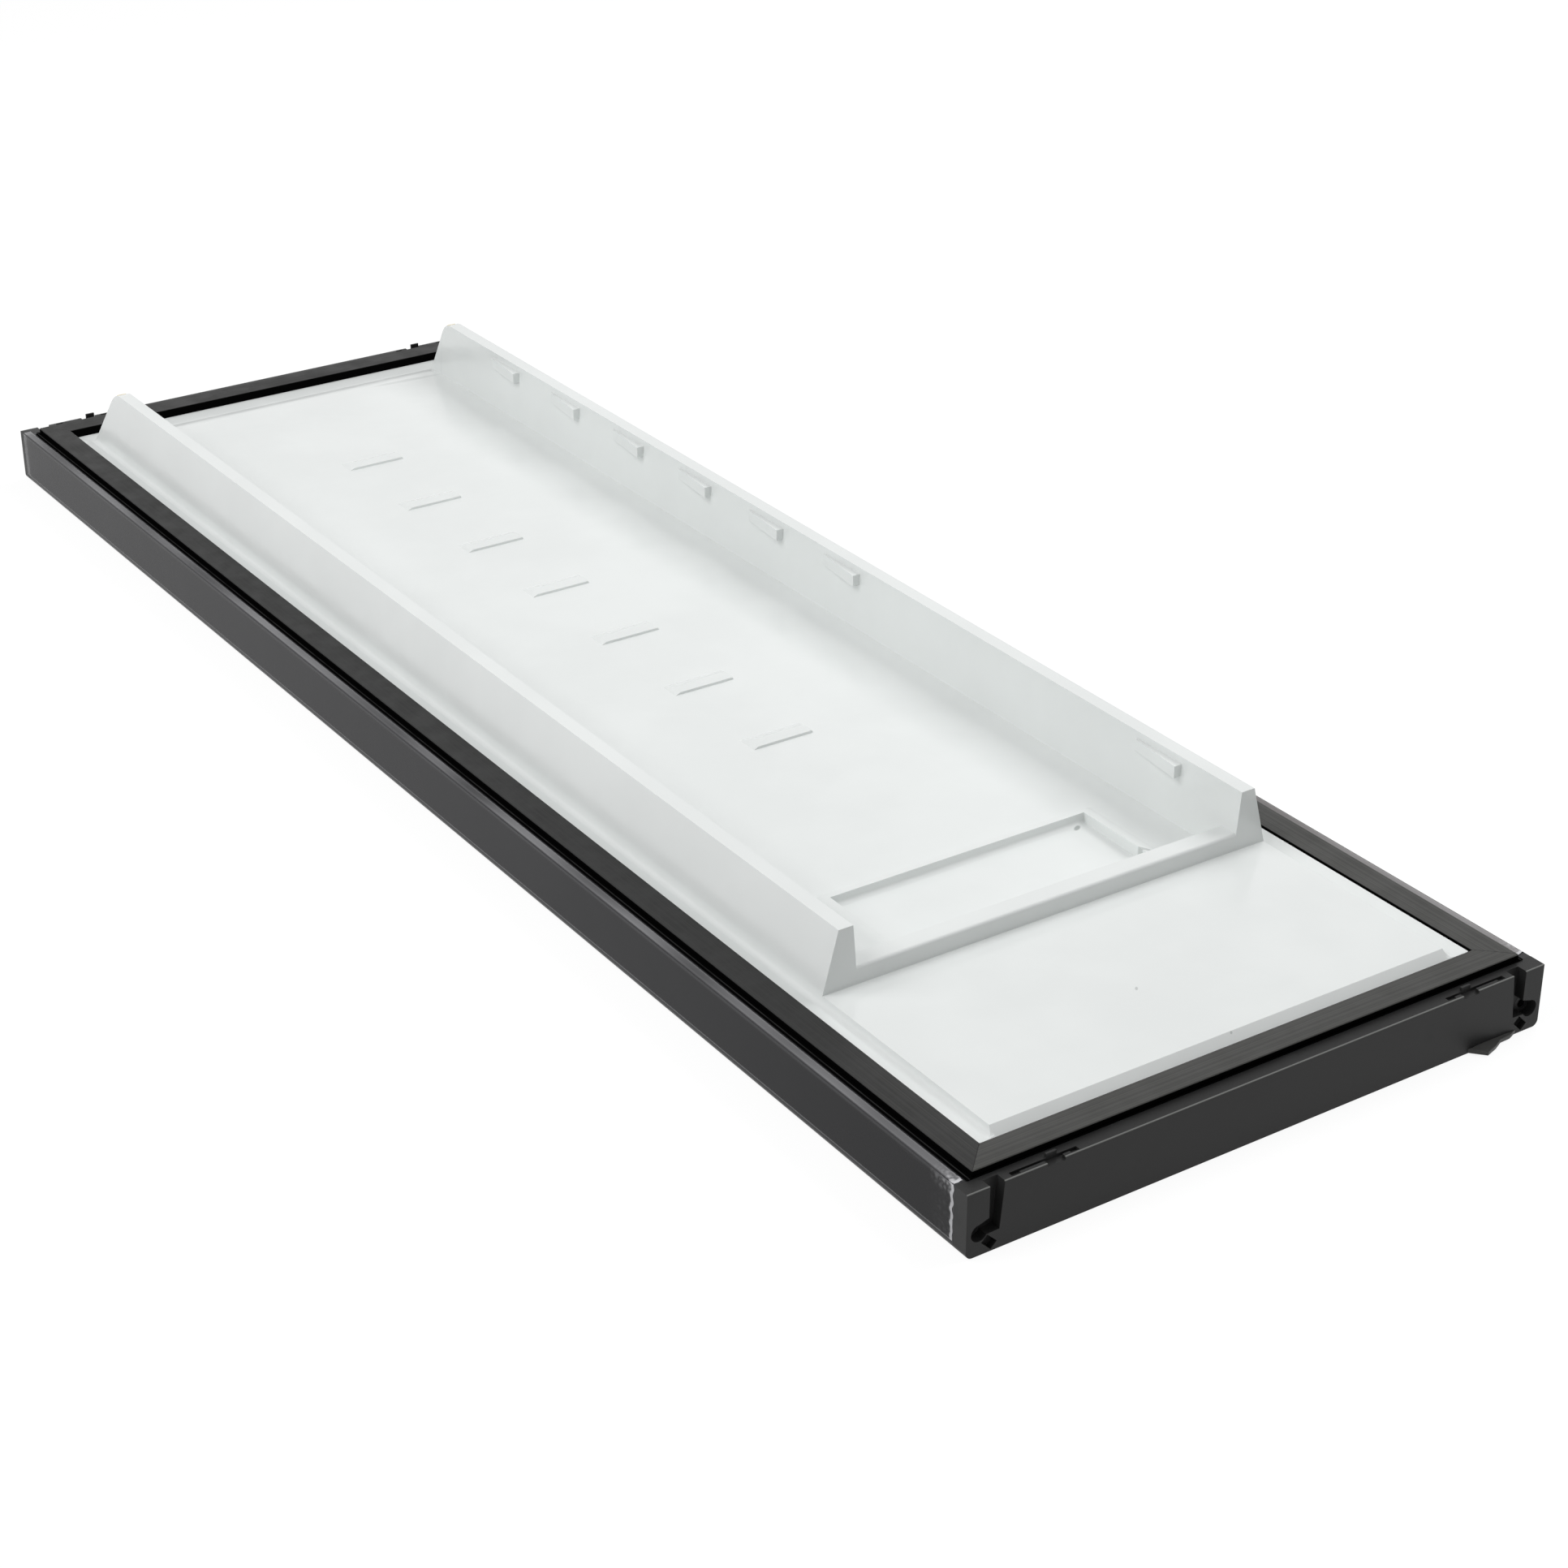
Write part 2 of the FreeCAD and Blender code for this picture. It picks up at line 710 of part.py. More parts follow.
def make_rib_lugs(body, label, inset):
    """Shelf lugs on the inner faces of both ribs, full at their lower ends."""
    wall = "(rib_top_inner + (rib_foot_inner - rib_top_inner) / (rib_top - strip_top)" \
        " * (rib_top - lug_top))"

    def lug_outlines(sketch, start):
        for side in (-1, 1):
            low = from_bottom(start + " + " + inset)
            high = from_bottom("%s + lug_long - %s" % (start, inset))
            draw_outline(sketch, [
                (from_side(side, "(rib_top_outer + rib_top_inner) / 2"), low),
                (from_side(side, "%s + lug_proud - %s" % (wall, inset)), low),
                (from_side(side, "%s + lug_proud_far - %s" % (wall, inset)), high),
                (from_side(side, "(rib_top_outer + rib_top_inner) / 2"), high),
            ])

    lower = new_sketch(body, label + "_lower_lugs", "XY_Plane", "lug_low + " + inset)
    lug_outlines(lower, "lug_lower")
    pad(body, lower, "lug_top - lug_low - 2 * " + inset)
    upper = new_sketch(body, label + "_upper_lugs", "XY_Plane", "lug_low + " + inset)
    lug_outlines(upper, "door_length - lug_last - lug_pitch * (lug_count - 1)")
    lugs = pad(body, upper, "lug_top - lug_low - 2 * " + inset)
    repeat_along(body, label + "_lug_row", lugs, "lug_count", "lug_pitch")


def repeat_along(body, name, feature, count, pitch):
    row = body.newObject("PartDesign::LinearPattern", name)
    row.Originals = [feature]
    row.Direction = (base_plane(body, "Y_Axis"), [""])
    bind(row, Length="%s * (%s - 1)" % (pitch, count), Occurrences=count)
    body.Tip = row
    return settle(row)


def make_floor_wedges(body, label, inset):
    """Low wedges across the tray floor, steep towards the bottom of the door."""
    floor = "tray_floor - " + inset
    start = from_bottom("door_length - wedge_last - lug_pitch * (wedge_count - 1)")
    half = "(wedge_wide / 2 - %s)" % inset
    wedge = tapered_block(
        body, label + "_wedge", floor, "tray_floor + wedge_high - " + inset,
        ("-%s" % half, half), ("%s + %s" % (start, inset), "%s + wedge_long - %s" % (start, inset)),
        ("-%s + wedge_left_taper" % half, "%s - wedge_right_taper" % half),
        ("%s + %s" % (start, inset), "%s + wedge_crest" % start))
    repeat_along(body, label + "_wedge_row", wedge, "wedge_count", "lug_pitch")


# Foam core: fills the space between the panel, the caps and the liner

def plain_box(name, across, along, low, high):
    block = document.addObject("Part::Box", name)
    bind(
        block,
        Length="%s - (%s)" % (across[1], across[0]),
        Width="%s - (%s)" % (along[1], along[0]),
        Height="%s - (%s)" % (high, low),
        Placement__Base__x=across[0],
        Placement__Base__y=along[0],
        Placement__Base__z=low,
    )
    return block


def make_foam_core(face, hard_pieces):
    core = new_body("foam_block")
    box_feature(core, "foam_bulk", across_both("steel"),
                (from_end(-1, "cap_end_wall"), from_end(1, "cap_end_wall")), "steel", "face_base")
    round_edges(core, "foam_folds", "fold_radius - steel",
                lambda p: near(abs(p.x), HALF_WIDTH + " - steel") and near(p.z, "steel"))
    whole = document.addObject("Part::MultiFuse", "foam_whole")
    whole.Shapes = [core, face]
    corners = []
    for side, hand in ((-1, "left"), (1, "right")):
        for end, place in ((-1, "bottom"), (1, "top")):
            across = [from_side(side, "-1"), from_side(side, "corner_width")]
            along = [from_end(end, "-1"), from_end(end, "corner_depth")]
            across = across if side < 0 else across[::-1]
            along = along if end < 0 else along[::-1]
            corners.append(plain_box("corner_%s_%s" % (place, hand), across, along, "0", "corner_height"))
            along = [from_end(end, "-1"), from_end(end, "cap_reach")]
            along = along if end < 0 else along[::-1]
            corners.append(plain_box("rail_%s_%s" % (place, hand), across, along, "0", "door_depth"))
    tools = document.addObject("Part::MultiFuse", "foam_limits")
    tools.Shapes = corners + hard_pieces
    foam = document.addObject("Part::Cut", "foam_core")
    foam.Base = whole
    foam.Tool = tools
    foam.Label = "foam_core"
    return foam


# Gasket: an extruded profile welded into a frame, with its magnets inside

GASKET_END = "gasket_inset + gasket_wide"


def make_gasket():
    body = new_body("gasket")
    path = new_sketch(body, "gasket_path", "XY_Plane")
    left, right = across_both("gasket_inset")
    low, high = from_end(-1, "gasket_inset"), from_end(1, "gasket_inset + gasket_top_shift")
    draw_outline(path, [("0", low), (right, low), (right, high), (left, high), (left, low)])

    profile = new_sketch(body, "gasket_profile", "YZ_Plane")
    bulb_end = "gasket_inset + gasket_chamber + 2 * gasket_skin"
    bulb_low = "gasket_top - gasket_chamber_high - 2 * gasket_skin"
    dart_end = "dart_from_side + dart_wide"

    def corner(inward, height):
        return from_end(-1, inward), height

    draw_outline(profile, [
        corner("gasket_inset + 0.6", "gasket_top"),
        corner(bulb_end, "gasket_top"),
        corner(GASKET_END, "gasket_top - 0.5"),
        corner(GASKET_END, "strip_top"),
        corner(GASKET_END + " - gasket_skin", "strip_top"),
        corner(GASKET_END + " - gasket_skin", "gasket_top - gasket_skin - 0.5"),
        corner(bulb_end, "gasket_top - gasket_skin"),
        corner(bulb_end, bulb_low),
        corner(dart_end, bulb_low),
        corner(dart_end, "gasket_foot_top"),
        corner(dart_end + " + 8", "gasket_foot_top"),
        corner(dart_end + " + 8", "strip_top"),
        corner(dart_end, "strip_top"),
        corner(dart_end, "strip_top - dart_deep"),
        corner("dart_from_side", "strip_top - dart_deep"),
        corner("dart_from_side", "strip_top"),
        corner("cap_reach + 1", "strip_top"),
        corner("cap_reach + 1", "door_depth + gasket_lip_gap"),
        corner("flange_width + gasket_lip", "door_depth + gasket_lip_gap"),
        corner("flange_width + gasket_lip", "door_depth + gasket_lip_gap + gasket_lip_thick"),
        corner("cap_reach + 1 + gasket_skin", "door_depth + gasket_lip_gap + gasket_lip_thick"),
        corner("cap_reach + 1 + gasket_skin", "gasket_foot_top"),
        corner("dart_from_side", "gasket_foot_top"),
        corner("dart_from_side", bulb_low),
        corner("gasket_inset + 0.6", bulb_low),
        corner("gasket_inset", bulb_low + " + 1"),
        corner("gasket_inset", "gasket_top - 1"),
    ])
    chamber = new_sketch(body, "gasket_chamber_profile", "YZ_Plane")
    chamber_wall = "gasket_inset + gasket_skin"
    draw_box(chamber, from_end(-1, chamber_wall), from_end(-1, chamber_wall + " + gasket_chamber"),
             bulb_low + " + gasket_skin", "gasket_top - gasket_skin")

    edges = ["Edge%d" % number for number in range(1, path.GeometryCount + 1)]
    for kind, section in (("PartDesign::AdditivePipe", profile), ("PartDesign::SubtractivePipe", chamber)):
        frame = body.newObject(kind, section.Name + "_round")
        frame.Profile = section
        frame.Spine = (path, edges)
        frame.Mode = "Standard"
        frame.Transition = "Right corner"
        settle(frame)
    return body


def make_magnet(label, across, along):
    bulb_floor = "gasket_top - gasket_chamber_high - gasket_skin"
    magnet = plain_box(label, across, along, bulb_floor,
                       "gasket_top - gasket_skin - magnet_clearance")
    magnet.Label = label
    return magnet


def make_magnets():
    near_wall = "gasket_inset + gasket_skin + magnet_clearance"
    far_wall = "gasket_inset + gasket_skin + gasket_chamber - magnet_clearance"
    stop = far_wall + " + magnet_end_gap"
    whole_across = across_both(stop)
    whole_along = (from_end(-1, stop), from_end(1, stop + " + gasket_top_shift"))
    make_magnet("magnet_strip_left", (from_side(-1, near_wall), from_side(-1, far_wall)), whole_along)
    make_magnet("magnet_strip_right", (from_side(1, far_wall), from_side(1, near_wall)), whole_along)
    make_magnet("magnet_strip_bottom", whole_across, (from_end(-1, near_wall), from_end(-1, far_wall)))
    top_along = (from_end(1, far_wall + " + gasket_top_shift"), from_end(1, near_wall + " + gasket_top_shift"))
    make_magnet("magnet_strip_top", whole_across, top_along)


# Protective film: a thin sheet round each long side and onto the flange

def make_film(label, side, start):
    body = new_body(label)
    profile = new_sketch(body, label + "_profile", "XZ_Plane", "-" + from_bottom(start))
    face = from_side(side, "0")
    skin = from_side(side, "-film")
    reach = from_side(side, "film_onto_flange")
    draw_outline(profile, [
        (face, "film_low"),
        (face, "door_depth"),
        (reach, "door_depth"),
        (reach, "door_depth + film"),
        (skin, "door_depth + film"),
        (skin, "film_low"),
    ])
    pad(body, profile, "door_length - film_end - " + start, reversed_way=True)
    return body


outer_panel = make_outer_panel()
bottom_end_cap = make_end_cap("bottom_end_cap", -1)
top_end_cap = make_end_cap("top_end_cap", 1)
door_stop = make_door_stop()

hinge_pieces = []
for hinge_end, hinge_place in ((-1, "bottom"), (1, "top")):
    for hinge_side, hinge_hand in ((-1, "left"), (1, "right")):
        place = "%s_%s" % (hinge_place, hinge_hand)
        hinge_pieces.append(make_hinge_bush("hinge_bush_" + place, hinge_side, hinge_end))
        hinge_pieces.append(make_hinge_plate("hinge_plate_" + place, hinge_side, hinge_end))

liner_top = liner_face("liner_top_face", "0", "liner_side_inset", "liner_end_inset")
liner_back = liner_face("liner_back_face", "liner_sheet", "steel", "cap_end_wall")
inner_liner = document.addObject("Part::Cut", "inner_liner")
inner_liner.Base = liner_top
inner_liner.Tool = liner_back
inner_liner.Label = "inner_liner"

plates = [piece for piece in hinge_pieces if "plate" in piece.Label]
foam_core = make_foam_core(liner_back, [outer_panel, bottom_end_cap, top_end_cap, door_stop] + plates)
make_gasket()
make_magnets()
make_film("protective_film_left", -1, "film_left_start")
make_film("protective_film_right", 1, "film_right_start")
document.recompute()

NODES = [
    "outer_panel", "bottom_end_cap", "top_end_cap", "door_stop",
    "hinge_bush_bottom_left", "hinge_bush_bottom_right", "hinge_bush_top_left", "hinge_bush_top_right",
    "hinge_plate_bottom_left", "hinge_plate_bottom_right", "hinge_plate_top_left", "hinge_plate_top_right",
    "inner_liner", "foam_core", "gasket",
    "magnet_strip_left", "magnet_strip_right", "magnet_strip_bottom", "magnet_strip_top",
    "protective_film_left", "protective_film_right",
]

for item in document.Objects:
    if "Invalid" in item.State or "Error" in item.State:
        raise RuntimeError("%s is %s" % (item.Label, item.State))

os.makedirs("parts", exist_ok=True)
for node in NODES:
    shape = document.getObjectsByLabel(node)[0].Shape
    if shape.isNull() or not shape.isValid():
        raise RuntimeError(node + " has no valid shape")
    shape.exportStep("parts/%s.step" % node)
    print("%s: %d solids, %.1f cm3" % (node, len(shape.Solids), shape.Volume / 1000))
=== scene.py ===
import math

import bpy
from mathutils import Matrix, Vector, noise


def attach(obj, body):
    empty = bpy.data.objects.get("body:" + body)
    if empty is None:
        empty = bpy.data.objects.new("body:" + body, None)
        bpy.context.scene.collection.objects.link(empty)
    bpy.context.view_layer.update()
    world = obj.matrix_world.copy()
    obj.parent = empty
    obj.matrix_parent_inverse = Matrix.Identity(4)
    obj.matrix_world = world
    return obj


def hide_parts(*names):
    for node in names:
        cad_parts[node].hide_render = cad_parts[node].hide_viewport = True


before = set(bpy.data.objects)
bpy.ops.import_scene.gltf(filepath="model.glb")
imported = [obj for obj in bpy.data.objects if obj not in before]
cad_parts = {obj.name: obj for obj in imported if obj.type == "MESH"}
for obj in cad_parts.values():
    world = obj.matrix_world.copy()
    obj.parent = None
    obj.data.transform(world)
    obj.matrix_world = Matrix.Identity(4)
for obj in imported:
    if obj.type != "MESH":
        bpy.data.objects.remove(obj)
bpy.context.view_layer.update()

# The door lies on its outer face: X is its width, +Y its top end, +Z the liner's side. Metres throughout.
HALF_WIDTH, HALF_LENGTH = 0.2985, 0.925
FLANGE_TOP = 0.0592
WEDGE_REACH = 0.031


# Selecting and finishing pieces

def let_go():
    """Leave edit mode and deselect everything."""
    if bpy.context.object and bpy.context.object.mode != "OBJECT":
        bpy.ops.object.mode_set(mode="OBJECT")
    bpy.ops.object.select_all(action="DESELECT")


def take(piece):
    """Select one piece and nothing else."""
    let_go()
    piece.select_set(True)
    bpy.context.view_layer.objects.active = piece


def apply_all(piece):
    """Apply each modifier of a piece, in order."""
    take(piece)
    for modifier in list(piece.modifiers):
        bpy.ops.object.modifier_apply(modifier=modifier.name)


def seat(piece, finish, node):
    """Put a finished piece on the door, in place of the node it stands for."""
    piece.data.materials.clear()
    piece.data.materials.append(finish)
    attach(piece, "root")
    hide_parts(node)


def shift_points(piece, holds, x=0.0, y=0.0, z=0.0):
    """Move the points of a piece that stand where the test says."""
    take(piece)
    bpy.ops.object.mode_set(mode="EDIT")
    bpy.ops.mesh.select_mode(type="VERT")
    bpy.ops.mesh.select_all(action="DESELECT")
    bpy.ops.object.mode_set(mode="OBJECT")
    for vertex in piece.data.vertices:
        vertex.select = holds(vertex.co)
    bpy.ops.object.mode_set(mode="EDIT")
    bpy.ops.transform.translate(value=(x, y, z))
    bpy.ops.object.mode_set(mode="OBJECT")


def cut_faces(piece, place, way):
    """Score all faces of a piece along one plane."""
    take(piece)
    bpy.ops.object.mode_set(mode="EDIT")
    bpy.ops.mesh.select_all(action="SELECT")
    bpy.ops.mesh.bisect(plane_co=place, plane_no=way)
    bpy.ops.object.mode_set(mode="OBJECT")


def round_chosen_edges(piece, width, holds):
    """A wide fillet along the edges whose two ends stand where the test says."""
    weights = piece.data.attributes.new("bevel_weight_edge", "FLOAT", "EDGE")
    for edge in piece.data.edges:
        if all(holds(piece.data.vertices[end].co) for end in edge.vertices):
            weights.data[edge.index].value = 1.0
    rounding = piece.modifiers.new("fillet", "BEVEL")
    rounding.width = width
    rounding.segments = 6
    rounding.limit_method = "WEIGHT"
    apply_all(piece)
    left_over = piece.data.attributes.get("bevel_weight_edge")
    if left_over:
        piece.data.attributes.remove(left_over)


def softened_moulding(node, name, soft, steps, angle, shape=None):
    """A copy of a node's form with its sharp edges rounded as a mould leaves them."""
    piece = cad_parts[node].copy()
    piece.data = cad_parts[node].data.copy()
    piece.name = name
    bpy.context.scene.collection.objects.link(piece)
    take(piece)
    bpy.ops.object.mode_set(mode="EDIT")
    bpy.ops.mesh.select_all(action="SELECT")
    bpy.ops.mesh.remove_doubles(threshold=1e-6)
    bpy.ops.mesh.dissolve_limited(angle_limit=math.radians(0.5))
    bpy.ops.object.mode_set(mode="OBJECT")
    if shape:
        shape(piece)
    rounding = piece.modifiers.new("rounding", "BEVEL")
    rounding.width = soft
    rounding.segments = steps
    rounding.limit_method = "ANGLE"
    rounding.angle_limit = math.radians(angle)
    apply_all(piece)
    take(piece)
    bpy.ops.object.mode_set(mode="EDIT")
    bpy.ops.mesh.select_all(action="SELECT")
    bpy.ops.mesh.quads_convert_to_tris(quad_method="BEAUTY", ngon_method="BEAUTY")
    bpy.ops.mesh.normals_make_consistent(inside=False)
    bpy.ops.object.mode_set(mode="OBJECT")
    bpy.ops.object.shade_smooth_by_angle(angle=math.radians(40))
    weights = piece.modifiers.new("weights", "WEIGHTED_NORMAL")
    weights.keep_sharp = True
    apply_all(piece)
    return piece


# Finishes

EASED = {"interpolation_type": "SMOOTHSTEP"}
COLOURS = {"data_type": "RGBA"}


def linear(hex_colour):
    """An sRGB hex colour as the linear colour that a node takes."""
    values = [int(hex_colour[i:i + 2], 16) / 255 for i in (1, 3, 5)]
    return [v / 12.92 if v <= 0.04045 else ((v + 0.055) / 1.055) ** 2.4 for v in values] + [1]


def add_node(tree, kind, *sockets, **settings):
    """Add one node with its settings, and fill its sockets in order with values or links. None skips one."""
    node = tree.nodes.new("ShaderNode" + kind)
    for setting, choice in settings.items():
        setattr(node, setting, choice)
    for socket, value in zip([socket for socket in node.inputs if socket.enabled], sockets):
        if isinstance(value, bpy.types.NodeSocket):
            tree.links.new(value, socket)
        elif value is not None:
            socket.default_value = value
    return next((socket for socket in node.outputs if socket.enabled), None)


def new_finish(name, roughness, gloss, metallic=0.0):
    """A material with its plain numbers set, and what its patterns are drawn with."""
    finish = bpy.data.materials.new(name)
    finish.use_nodes = True
    shader = finish.node_tree.nodes["Principled BSDF"]
    shader.inputs["Roughness"].default_value = roughness
    shader.inputs["Specular IOR Level"].default_value = gloss
    shader.inputs["Metallic"].default_value = metallic
    place = add_node(finish.node_tree, "TexCoord").node.outputs["Object"]
    return finish, finish.node_tree, shader, place


def feed_shader(tree, shader, **sockets):
    """Link each pattern to the shader's socket of that name."""
    for name, source in sockets.items():
        tree.links.new(source, shader.inputs[name.replace("_", " ")])


def spot(tree, place, x, y, reach_x, reach_y, turn):
    """A mark of a given reach on the liner: 1 at its middle, 0 beyond its edge."""
    moved = add_node(tree, "Mapping", place, (x, y, 0), (0, 0, turn), (reach_x, reach_y, 1), vector_type="TEXTURE")
    flat = add_node(tree, "VectorMath", moved, (1, 1, 0), operation="MULTIPLY")
    from_middle = add_node(tree, "VectorMath", flat, operation="LENGTH")
    return add_node(tree, "MapRange", from_middle, 0.5, 1.0, 1.0, 0.0, **EASED)


def liner_finish():
    # Vacuum-formed high-impact polystyrene: white and glossy, faintly rippled by the draw, with wiped smears.
    # Clouds 140 mm across, smears 45 mm, ripple 11 mm.
    finish, tree, shader, place = new_finish("vacuum_formed_polystyrene", 0.16, 0.55)
    clouds = add_node(tree, "TexNoise", place, 7, 3, 0.55)
    haze = add_node(tree, "MapRange", clouds, 0.35, 0.7, 0.0, 1.0, **EASED)
    colour = add_node(tree, "Mix", haze, linear("#E7EAE9"), linear("#EBEEED"), **COLOURS)
    # two grey specks, two scuffs, and painted shade in the recess's far corner, where it lies deep in shadow: place,
    # reach, turn and depth of each
    for x, y, reach_x, reach_y, turn, depth in (
            (-0.0165, -0.776, 0.0035, 0.0016, 0.9, 0.45),
            (0.0045, -0.869, 0.0016, 0.0012, 0.3, 0.45),
            (0.144, -0.592, 0.0022, 0.016, 0.5, 0.45),
            (0.156, 0.825, 0.056, 0.005, -0.07, 0.2),
            # painted shade: the dark patch deep in the recess's far corner
            (0.130, -0.5145, 0.006, 0.003, 0.5, 0.7)):
        mark = spot(tree, place, x, y, reach_x, reach_y, turn)
        shade = add_node(tree, "Math", mark, depth, operation="MULTIPLY")
        colour = add_node(tree, "Mix", shade, colour, linear("#8E9492"), **COLOURS)
    wiped = add_node(tree, "TexNoise", place, 22, 4, 0.55)
    smears = add_node(tree, "MapRange", wiped, 0.4, 0.75, 0.14, 0.26, **EASED)
    ripple = add_node(tree, "TexNoise", place, 90, 1, 0.55)
    relief = add_node(tree, "Bump", 1.0, 0.00006, None, ripple)
    feed_shader(tree, shader, Base_Color=colour, Roughness=smears, Normal=relief)
    return finish


def gasket_finish():
    # Extruded soft PVC: near-black and dull, with drawing lines along each strip and dust in them.
    # The lines are 2.4 mm apart, coarser than the real ones, so that they show; the dusty patches are 33 mm across.
    finish, tree, shader, place = new_finish("extruded_soft_pvc", 0.5, 0.2)
    x, y, _ = add_node(tree, "SeparateXYZ", place).node.outputs
    # how far a point lies inwards from the outer edge of a long run, of the bottom run and of the top run
    from_axis = add_node(tree, "Math", x, operation="ABSOLUTE")
    in_side = add_node(tree, "Math", 0.283, from_axis, operation="SUBTRACT")
    in_bottom = add_node(tree, "Math", y, 0.9095, operation="ADD")
    in_top = add_node(tree, "Math", 0.903, y, operation="SUBTRACT")
    in_end = add_node(tree, "Math", in_bottom, in_top, operation="MINIMUM")
    inward = add_node(tree, "Math", in_side, in_end, operation="MINIMUM")
    lines = add_node(tree, "TexNoise", inward, 420, 3, noise_dimensions="1D")
    patches = add_node(tree, "TexNoise", place, 30, 5, 0.55)
    dust_lines = add_node(tree, "MapRange", lines, 0.4, 0.7, 0.0, 1.0, **EASED)
    dust_patches = add_node(tree, "MapRange", patches, 0.4, 0.7, 0.2, 1.0, **EASED)
    dust = add_node(tree, "Math", dust_lines, dust_patches, operation="MULTIPLY")
    colour = add_node(tree, "Mix", dust, linear("#232323"), linear("#2E2E2D"), **COLOURS)
    # the bottom and right runs are paler up to the welds, a painted sheen, and the left run is a little paler near
    # its lower end
    past_weld = add_node(tree, "Math", in_side, in_bottom, operation="SUBTRACT")
    on_bottom = add_node(tree, "MapRange", past_weld, -0.0008, 0.0008, 0.0, 1.0, **EASED)
    right_half = add_node(tree, "MapRange", x, 0.2000, 0.2010, 0.0, 1.0, **EASED)
    below_top_weld = add_node(tree, "Math", in_top, in_side, operation="SUBTRACT")
    off_top = add_node(tree, "MapRange", below_top_weld, -0.0008, 0.0008, 0.0, 1.0, **EASED)
    on_right = add_node(tree, "Math", right_half, off_top, operation="MULTIPLY")
    lower_end = add_node(tree, "MapRange", y, -0.66, -0.80, 0.0, 0.4, **EASED)
    on_left = add_node(tree, "Math", lower_end, lines, operation="MULTIPLY")
    # painted sheen on the bottom and right runs, and a paler left run near its lower end
    painted_sheen_and_pale_end = add_node(tree, "Math", on_right, on_left, operation="MAXIMUM")
    painted_sheen_and_pale_end = add_node(tree, "Math", on_bottom, painted_sheen_and_pale_end, operation="MAXIMUM")
    pale_lines = add_node(tree, "MapRange", lines, 0.35, 0.65, 0.0, 1.0, **EASED)
    pale = add_node(tree, "Mix", pale_lines, linear("#3C3C3B"), linear("#484846"), **COLOURS)
    colour = add_node(tree, "Mix", painted_sheen_and_pale_end, colour, pale, **COLOURS)
    # the weld at each corner, a fine dark line at 45 degrees
    across_weld = add_node(tree, "Math", in_side, in_end, operation="SUBTRACT")
    from_weld = add_node(tree, "Math", across_weld, operation="ABSOLUTE")
    weld = add_node(tree, "MapRange", from_weld, 0.0002, 0.0007, 1.0, 0.0, **EASED)
    weld_shade = add_node(tree, "Math", weld, 0.7, operation="MULTIPLY")
    colour = add_node(tree, "Mix", weld_shade, colour, linear("#121212"), **COLOURS)
    dull = add_node(tree, "MapRange", patches, 0.3, 0.7, 0.42, 0.58, **EASED)
    line_height = add_node(tree, "Math", lines, 0.3, operation="MULTIPLY")
    height = add_node(tree, "Math", line_height, weld, operation="SUBTRACT")
    relief = add_node(tree, "Bump", 1.0, 0.0003, None, height)
    feed_shader(tree, shader, Base_Color=colour, Roughness=dull, Normal=relief)
    return finish


def gasket_wall_finish():
    # The same PVC in the channels beside the top face: dead matt and near-black, a painted shade for the channels'
    # shadow, with one worn fold line.
    # Scuffs 17 mm long, and a 3 mm grain, coarser than the real one so that it shows.
    finish, tree, shader, place = new_finish("soft_pvc_channels_painted_shade", 0.9, 0.0)
    x = add_node(tree, "SeparateXYZ", place).node.outputs["X"]
    from_axis = add_node(tree, "Math", x, operation="ABSOLUTE")
    off_line = add_node(tree, "Math", from_axis, 0.2858, operation="SUBTRACT")
    off_line = add_node(tree, "Math", off_line, operation="ABSOLUTE")
    fold = add_node(tree, "MapRange", off_line, 0.0003, 0.0007, 1.0, 0.0, **EASED)
    scuffs = add_node(tree, "TexNoise", place, 60, 3, 0.55)
    scuffs = add_node(tree, "MapRange", scuffs, 0.3, 0.6, 0.5, 1.0, **EASED)
    wear_and_edge_highlight = add_node(tree, "Math", fold, scuffs, operation="MULTIPLY")
    # painted shade: near black, as the channels lie in shadow
    colour = add_node(tree, "Mix", wear_and_edge_highlight, linear("#070707"), linear("#3A3A3A"), **COLOURS)
    grain = add_node(tree, "TexNoise", place, 300, 2, 0.55)
    relief = add_node(tree, "Bump", 1.0, 0.0001, None, grain)
    feed_shader(tree, shader, Base_Color=colour, Normal=relief)
    return finish


def moulded_finish(name, dark, pale, rough):
    # Injection-moulded plastic: a spark-eroded grain, drawn at 0.5 mm so that it shows, handled patches 38 mm
    # across, and a painted highlight, a pale line along the end's upper edge
    finish, tree, shader, place = new_finish(name, rough, 0.2)
    handled = add_node(tree, "TexNoise", place, 26, 6, 0.55)
    rub = add_node(tree, "MapRange", handled, 0.5, 0.8, 0.0, 0.6, **EASED)
    _, y, z = add_node(tree, "SeparateXYZ", place).node.outputs
    from_middle = add_node(tree, "Math", y, operation="ABSOLUTE")
    # painted highlight: a pale line along the upper edge at each end
    at_end = add_node(tree, "MapRange", from_middle, 0.9236, 0.9242, 0.0, 1.0, **EASED)
    at_top = add_node(tree, "MapRange", z, 0.0583, 0.0588, 0.0, 0.9, **EASED)
    wear_and_edge_highlight = add_node(tree, "Math", at_end, at_top, operation="MULTIPLY")
    colour = add_node(tree, "Mix", rub, linear(dark), linear(pale), **COLOURS)
    colour = add_node(tree, "Mix", wear_and_edge_highlight, colour, linear("#767775"), **COLOURS)
    dull = add_node(tree, "MapRange", rub, 0.0, 0.6, rough, rough + 0.12, **EASED)
    grain = add_node(tree, "TexNoise", place, 1900, 2, 0.55)
    relief = add_node(tree, "Bump", 1.0, 0.00005, None, grain)
    feed_shader(tree, shader, Base_Color=colour, Roughness=dull, Normal=relief)
    return finish


